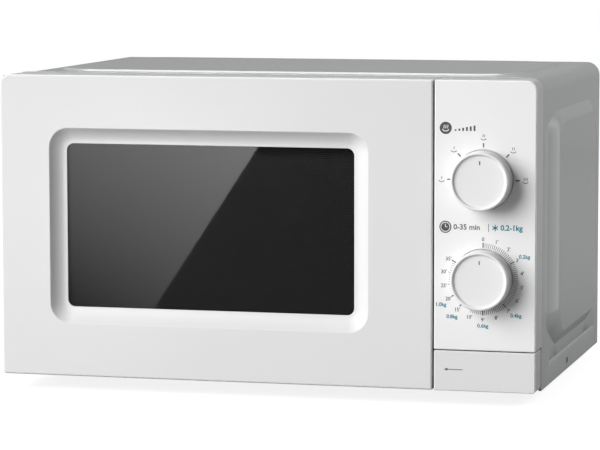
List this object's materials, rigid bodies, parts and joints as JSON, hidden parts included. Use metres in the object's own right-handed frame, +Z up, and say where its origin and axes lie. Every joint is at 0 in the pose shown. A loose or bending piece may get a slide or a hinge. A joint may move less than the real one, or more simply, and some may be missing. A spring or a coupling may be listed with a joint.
{
  "type": "microwave oven",
  "caption": "Counter-top microwave oven with a side-hung window door, a push-to-open button, rotary power and timer knobs and a glass turntable.",
  "frame": {"origin": "on the surface the feet stand on, under the middle of the overall box", "axes": "+X to the user's right, +Y from the front to the back, +Z up; the door and knobs face -Y"},
  "size_m": [0.4506, 0.3312, 0.258],
  "materials": {
    "white_plastic": "satin white moulded plastic",
    "silver_paint": "satin silver-grey paint on folded steel sheet",
    "zinc_steel": "dull zinc-plated steel",
    "cavity_paint": "smooth light paint",
    "screen_steel": "dark paint on perforated steel",
    "dark_glass": "polished tinted glass",
    "clear_glass": "polished clear glass",
    "black_plastic": "matte black",
    "grey_plastic": "matte mid grey",
    "rubber": "matte black",
    "mica": "matte mottled mica sheet",
    "copper": "enamelled copper",
    "aluminium": "plain mill finish",
    "circuit_board": "green solder mask",
    "spring_steel": "bright drawn wire"
  },
  "bodies": {
    "chassis": {"control_panel": "white_plastic", "cabinet": "silver_paint", "cabinet_screw_left": "zinc_steel", "cabinet_screw_right": "zinc_steel", "rear_panel": "zinc_steel", "base_plate": "zinc_steel", "waveguide": "zinc_steel", "fan_motor": "zinc_steel", "turntable_motor": "zinc_steel", "hinge_upper": "zinc_steel", "hinge_lower": "zinc_steel", "transformer_core": "zinc_steel", "front_plate": "cavity_paint", "cavity_floor": "cavity_paint", "cavity_roof": "cavity_paint", "cavity_left_wall": "cavity_paint", "cavity_right_wall": "cavity_paint", "cavity_rear_wall": "cavity_paint", "oven_lamp": "clear_glass", "cord_inlet": "black_plastic", "high_voltage_diode": "black_plastic", "lamp_holder": "black_plastic", "thermal_cutout": "black_plastic", "interlock_bracket": "black_plastic", "primary_microswitch": "black_plastic", "secondary_microswitch": "black_plastic", "monitor_microswitch": "black_plastic", "air_duct": "grey_plastic", "power_unit": "grey_plastic", "timer_unit": "grey_plastic", "foot_front_left": "rubber", "foot_front_right": "rubber", "foot_rear_left": "rubber", "foot_rear_right": "rubber", "waveguide_cover": "mica", "magnetron": "copper", "transformer_windings": "copper", "magnetron_fins": "aluminium", "capacitor": "aluminium", "filter_board": "circuit_board", "return_spring": "spring_steel"},
    "door": {"door_frame": "white_plastic", "door_glass": "dark_glass", "door_screen": "screen_steel", "choke_cover": "grey_plastic", "latch_spring": "spring_steel"},
    "latch": {"latch_hooks": "grey_plastic"},
    "open_button": {"open_button": "white_plastic"},
    "release_lever": {"release_lever": "grey_plastic"},
    "power_knob": {"power_knob": "white_plastic", "power_shaft": "zinc_steel"},
    "timer_knob": {"timer_knob": "white_plastic", "timer_shaft": "zinc_steel"},
    "turntable": {"turntable_coupler": "grey_plastic", "glass_tray": "clear_glass"},
    "roller_ring": {"roller_ring": "grey_plastic"},
    "roller_1": {"roller_1": "white_plastic"},
    "roller_2": {"roller_2": "white_plastic"},
    "roller_3": {"roller_3": "white_plastic"},
    "fan": {"fan_blade": "grey_plastic"}
  },
  "joints": [
    {"name": "door_hinge", "type": "hinge", "parent": "chassis", "child": "door", "pos_m": [-0.21075, -0.12965, 0.1345], "axis": [0, 0, -1], "range_deg": [0, 100]},
    {"name": "button_press", "type": "slide", "parent": "chassis", "child": "open_button", "axis": [0, 1, 0], "range_m": [0, 0.005], "stiffness_N_per_m": 800, "springref_m": -0.002},
    {"name": "lever_tilt", "type": "hinge", "parent": "chassis", "child": "release_lever", "pos_m": [0.136, -0.11065, 0.0465], "axis": [1, 0, 0], "range_deg": [0, 17], "deforming": ["return_spring"]},
    {"name": "latch_lift", "type": "slide", "parent": "door", "child": "latch", "axis": [0, 0, 1], "range_m": [0, 0.005], "deforming": ["latch_spring"]},
    {"name": "power_turn", "type": "hinge", "parent": "chassis", "child": "power_knob", "pos_m": [0.178, -0.14865, 0.1791], "axis": [0, 1, 0], "range_deg": [-90, 90]},
    {"name": "timer_turn", "type": "hinge", "parent": "chassis", "child": "timer_knob", "pos_m": [0.178, -0.14865, 0.1015], "axis": [0, 1, 0], "range_deg": [0, 300]},
    {"name": "turntable_spin", "type": "hinge", "parent": "chassis", "child": "turntable", "pos_m": [-0.048, 0.01715, 0.0465], "axis": [0, 0, 1], "continuous": true},
    {"name": "ring_spin", "type": "hinge", "parent": "chassis", "child": "roller_ring", "pos_m": [-0.048, 0.01715, 0.0398], "axis": [0, 0, 1], "continuous": true},
    {"name": "roller_1_spin", "type": "hinge", "parent": "roller_ring", "child": "roller_1", "pos_m": [-0.048, 0.10715, 0.0398], "axis": [0, 1, 0], "continuous": true},
    {"name": "roller_2_spin", "type": "hinge", "parent": "roller_ring", "child": "roller_2", "pos_m": [-0.12594, -0.02785, 0.0398], "axis": [-0.866, -0.5, 0], "continuous": true},
    {"name": "roller_3_spin", "type": "hinge", "parent": "roller_ring", "child": "roller_3", "pos_m": [0.02994, -0.02785, 0.0398], "axis": [0.866, -0.5, 0], "continuous": true},
    {"name": "fan_spin", "type": "hinge", "parent": "chassis", "child": "fan", "pos_m": [0.163, 0.12735, 0.1705], "axis": [0, 1, 0], "continuous": true}
  ],
  "couplings": [
    {"joint": "lever_tilt", "follows": "button_press", "rad_per_m": 59.3},
    {"joint": "latch_lift", "follows": "button_press", "ratio": 1},
    {"joint": "ring_spin", "follows": "turntable_spin", "ratio": 0.5},
    {"joint": "roller_1_spin", "follows": "turntable_spin", "ratio": -6.4286},
    {"joint": "roller_2_spin", "follows": "turntable_spin", "ratio": -6.4286},
    {"joint": "roller_3_spin", "follows": "turntable_spin", "ratio": -6.4286}
  ]
}
